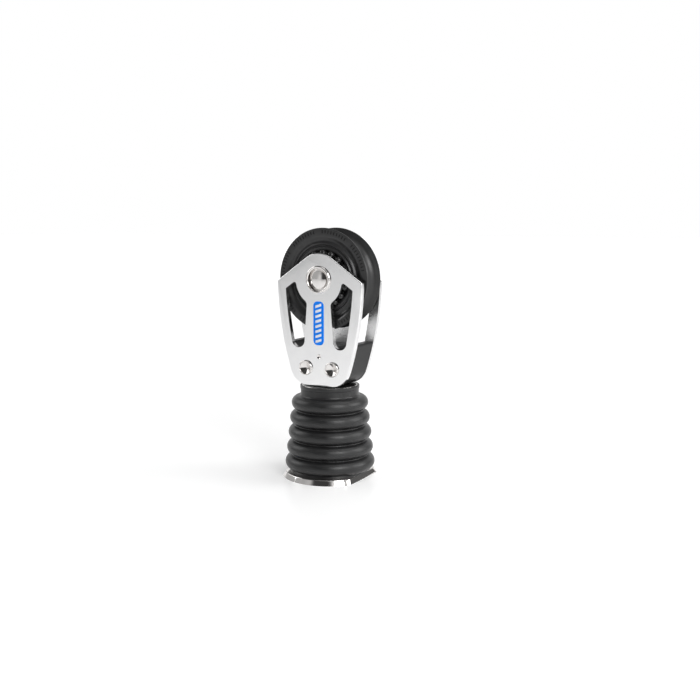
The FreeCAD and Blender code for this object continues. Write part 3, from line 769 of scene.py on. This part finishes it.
def buildFloor():
    # the camera sees it rise to white far off, and the steel mirrors it without that lift
    s = floorLook
    deselectAll()
    bpy.ops.mesh.primitive_plane_add(size=s["size"], location=(0, 0, 0))
    floor = bpy.context.object
    floor.name = "floor"
    material, shader = newMaterial("paleFloor")
    nodes, links = material.node_tree.nodes, material.node_tree.links
    place = nodes.new("ShaderNodeTexCoord")
    split = nodes.new("ShaderNodeSeparateXYZ")
    links.new(place.outputs["Object"], split.inputs["Vector"])
    away = nodes.new("ShaderNodeVectorMath")
    away.operation = "LENGTH"
    links.new(place.outputs["Object"], away.inputs[0])

    def fade(source, start, end, low, high):
        span = nodes.new("ShaderNodeMapRange")
        span.inputs["From Min"].default_value = start
        span.inputs["From Max"].default_value = end
        span.inputs["To Min"].default_value = low
        span.inputs["To Max"].default_value = high
        links.new(source, span.inputs["Value"])
        return span.outputs["Result"]

    def combine(first, second, operation):
        node = nodes.new("ShaderNodeMath")
        node.operation = operation
        links.new(first, node.inputs[0])
        links.new(second, node.inputs[1])
        return node.outputs["Value"]

    path = nodes.new("ShaderNodeLightPath")
    seen = fade(away.outputs["Value"], s["liftStart"], s["liftEnd"], s["glow"], s["horizonGlow"])
    mirrored = fade(split.outputs["Y"], -s["fadeStart"], -s["fadeEnd"], s["glow"], s["mirroredGlow"])
    seen = combine(path.outputs["Is Camera Ray"], seen, "MULTIPLY")
    mirrored = combine(path.outputs["Is Glossy Ray"], mirrored, "MULTIPLY")
    links.new(combine(seen, mirrored, "ADD"), shader.inputs["Emission Strength"])
    shader.inputs["Emission Color"].default_value = (1, 1, 1, 1)
    shader.inputs["Base Color"].default_value = (s["color"], s["color"], s["color"], 1)
    shader.inputs["Roughness"].default_value = s["roughness"]
    shader.inputs["Specular IOR Level"].default_value = s["specular"]
    dress(floor, material)


def direction(azimuth, elevation):
    a, e = math.radians(azimuth), math.radians(elevation)
    return (math.cos(e) * math.cos(a), math.cos(e) * math.sin(a), math.sin(e))


skyLook = {"low": 1.0, "front": 0.72, "frontFrom": -0.2, "frontTo": -0.7, "high": 0.55, "highFrom": 0.22,
           "highTo": 0.42,
           "patches": ({"azimuth": -160, "elevation": 12, "inner": 0.86, "outer": 0.66, "value": 0.45},
                       {"azimuth": -82, "elevation": 32, "inner": 0.97, "outer": 0.88, "value": 0.05},
                       {"azimuth": -78, "elevation": 9, "inner": 0.96, "outer": 0.88, "value": 0.05},
                       {"azimuth": -128, "elevation": 48, "inner": 0.97, "outer": 0.93, "value": 0.05},
                       {"azimuth": -32, "elevation": 28, "inner": 0.98, "outer": 0.91, "value": 1.0},
                       {"azimuth": 54, "elevation": 8, "inner": 0.97, "outer": 0.91, "value": 0.12},
                       {"azimuth": 150, "elevation": 62, "inner": 0.95, "outer": 0.86, "value": 0.08})}


def buildSky():
    # white near the horizon, greyer overhead, with soft dark and bright cards for the steel to mirror
    s = skyLook
    world = bpy.data.worlds.new("studioSky")
    scene.world = world
    world.use_nodes = True
    nodes, links = world.node_tree.nodes, world.node_tree.links
    nodes.clear()
    output = nodes.new("ShaderNodeOutputWorld")
    back = nodes.new("ShaderNodeBackground")
    place = nodes.new("ShaderNodeTexCoord")
    split = nodes.new("ShaderNodeSeparateXYZ")
    links.new(place.outputs["Generated"], split.inputs["Vector"])

    def span(source, low, high, start, end):
        node = nodes.new("ShaderNodeMapRange")
        node.interpolation_type = "SMOOTHSTEP"
        node.inputs["From Min"].default_value = low
        node.inputs["From Max"].default_value = high
        node.inputs["To Min"].default_value = start
        node.inputs["To Max"].default_value = end
        links.new(source, node.inputs["Value"])
        return node.outputs["Result"]

    def blended(source, value, amount):
        # source where amount is 0 and value where it is 1
        node = nodes.new("ShaderNodeMix")
        node.inputs["B"].default_value = value
        links.new(amount, node.inputs["Factor"])
        links.new(source, node.inputs["A"])
        return node.outputs["Result"]

    level = span(split.outputs["Y"], s["frontFrom"], s["frontTo"], s["low"], s["front"])
    level = blended(level, s["high"], span(split.outputs["Z"], s["highFrom"], s["highTo"], 0, 1))
    for patch in s["patches"]:
        facing = nodes.new("ShaderNodeVectorMath")
        facing.operation = "DOT_PRODUCT"
        facing.inputs[1].default_value = direction(patch["azimuth"], patch["elevation"])
        links.new(place.outputs["Generated"], facing.inputs[0])
        inside = span(facing.outputs["Value"], patch["outer"], patch["inner"], 0, 1)
        level = blended(level, patch["value"], inside)
    path = nodes.new("ShaderNodeLightPath")
    level = blended(level, 1.0, path.outputs["Is Camera Ray"])
    links.new(level, back.inputs["Strength"])
    links.new(back.outputs["Background"], output.inputs["Surface"])
    back.inputs["Color"].default_value = (1, 1, 1, 1)


lamps = {"frontWindow": {"place": (0.80, -0.52, 0.55), "size": 0.45, "power": 4.5},
         "leftWindow": {"place": (-1.1, -0.2, 0.7), "size": 0.7, "power": 3.0},
         "rightWindow": {"place": (1.0, 0.5, 0.55), "size": 0.7, "power": 5.0},
         "topWindow": {"place": (0.2, 0.3, 1.4), "size": 0.8, "power": 5.0}}


lampAim = Vector((0, 0, 0.08))


def buildLamps():
    for name, facts in lamps.items():
        light = bpy.data.lights.new(name, "AREA")
        light.shape = "SQUARE"
        light.size = facts["size"]
        light.energy = facts["power"]
        lamp = bpy.data.objects.new(name, light)
        scene.collection.objects.link(lamp)
        place = Vector(facts["place"])
        lamp.location = place
        lamp.rotation_mode = "QUATERNION"
        lamp.rotation_quaternion = (lampAim - place).to_track_quat("-Z", "Y")


cameraPlace = {"azimuth": 30.03, "elevation": 7.97, "position": (0.2829, -0.4652, 0.1522),
               "focalPixels": 917.0, "frame": 700.0, "sensor": 36.0, "clipStart": 0.01}


def buildCamera():
    s = cameraPlace
    data = bpy.data.cameras.new("photoCamera")
    data.sensor_width = s["sensor"]
    data.lens = s["sensor"] * s["focalPixels"] / s["frame"]
    data.clip_start = s["clipStart"]
    camera = bpy.data.objects.new("photoCamera", data)
    scene.collection.objects.link(camera)
    a, e = math.radians(s["azimuth"]), math.radians(s["elevation"])
    look = -Vector((math.sin(a) * math.cos(e), -math.cos(a) * math.cos(e), math.sin(e)))
    camera.location = s["position"]
    camera.rotation_mode = "QUATERNION"
    camera.rotation_quaternion = look.to_track_quat("-Z", "Y")
    scene.camera = camera


buildFloor()
buildSky()
buildLamps()
buildCamera()
scene.view_settings.view_transform = "Standard"
print("studio done")
